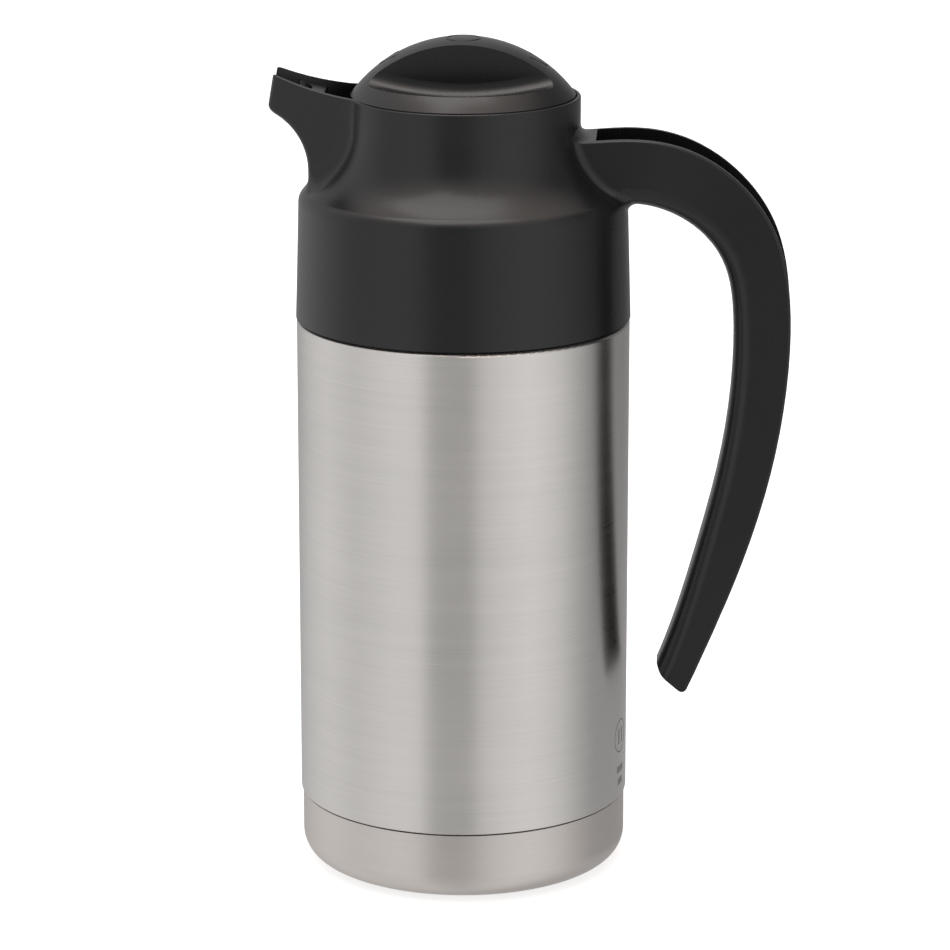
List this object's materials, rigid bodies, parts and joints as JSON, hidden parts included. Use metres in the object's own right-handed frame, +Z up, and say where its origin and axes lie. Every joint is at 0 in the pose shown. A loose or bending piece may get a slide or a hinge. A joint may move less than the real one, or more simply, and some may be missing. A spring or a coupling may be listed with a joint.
{
  "type": "vacuum pouring carafe",
  "caption": "Tall steel vacuum carafe with a black pouring collar, bridged spout, open-ended handle and domed screw stopper.",
  "frame": {"origin": "centre of the resting face under the base pad, on the body's axis", "axes": "+Z up along the body's axis, spout towards -X, handle towards +X"},
  "size_m": [0.1427, 0.0922, 0.2334],
  "materials": {
    "brushed_steel": "fine circumferential brushing",
    "base_steel": "satin, warmer and duller than the body",
    "flask_steel": "drawn steel",
    "solder": "solidified solder",
    "getter_alloy": "sintered",
    "foil": "bright foil",
    "pad_rubber": "matt",
    "collar_plastic": "fine satin grain",
    "lid_plastic": "fine satin grain",
    "liner_plastic": "smooth",
    "silicone": "translucent white silicone",
    "foam": "closed-cell foam"
  },
  "bodies": {
    "vessel": {"outer_shell": "brushed_steel", "shell_neck": "flask_steel", "inner_flask": "flask_steel", "flask_neck": "flask_steel", "shell_bottom": "flask_steel", "vacuum_seal": "solder", "getter": "getter_alloy", "reflective_foil": "foil", "base_cup": "base_steel", "base_pad": "pad_rubber", "collar": "collar_plastic", "spout_bridge": "collar_plastic", "throat_liner": "liner_plastic", "neck_gasket": "silicone", "liner_gasket": "silicone"},
    "seal": {"stopper_seal": "silicone"},
    "stopper": {"stopper_core": "liner_plastic", "stopper_floor": "liner_plastic", "stopper_insulation": "foam", "cap_oring": "silicone", "stopper_cap": "lid_plastic"}
  },
  "joints": [
    {"name": "stopper_rise", "type": "slide", "parent": "vessel", "child": "seal", "axis": [0, 0, 1], "range_m": [0, 0.0091]},
    {"name": "stopper_turn", "type": "hinge", "parent": "seal", "child": "stopper", "pos_m": [0, 0, 0.2], "axis": [0, 0, 1], "range_deg": [0, 270]}
  ],
  "couplings": [
    {"joint": "stopper_rise", "follows": "stopper_turn", "m_per_rad": 0.0019099}
  ]
}
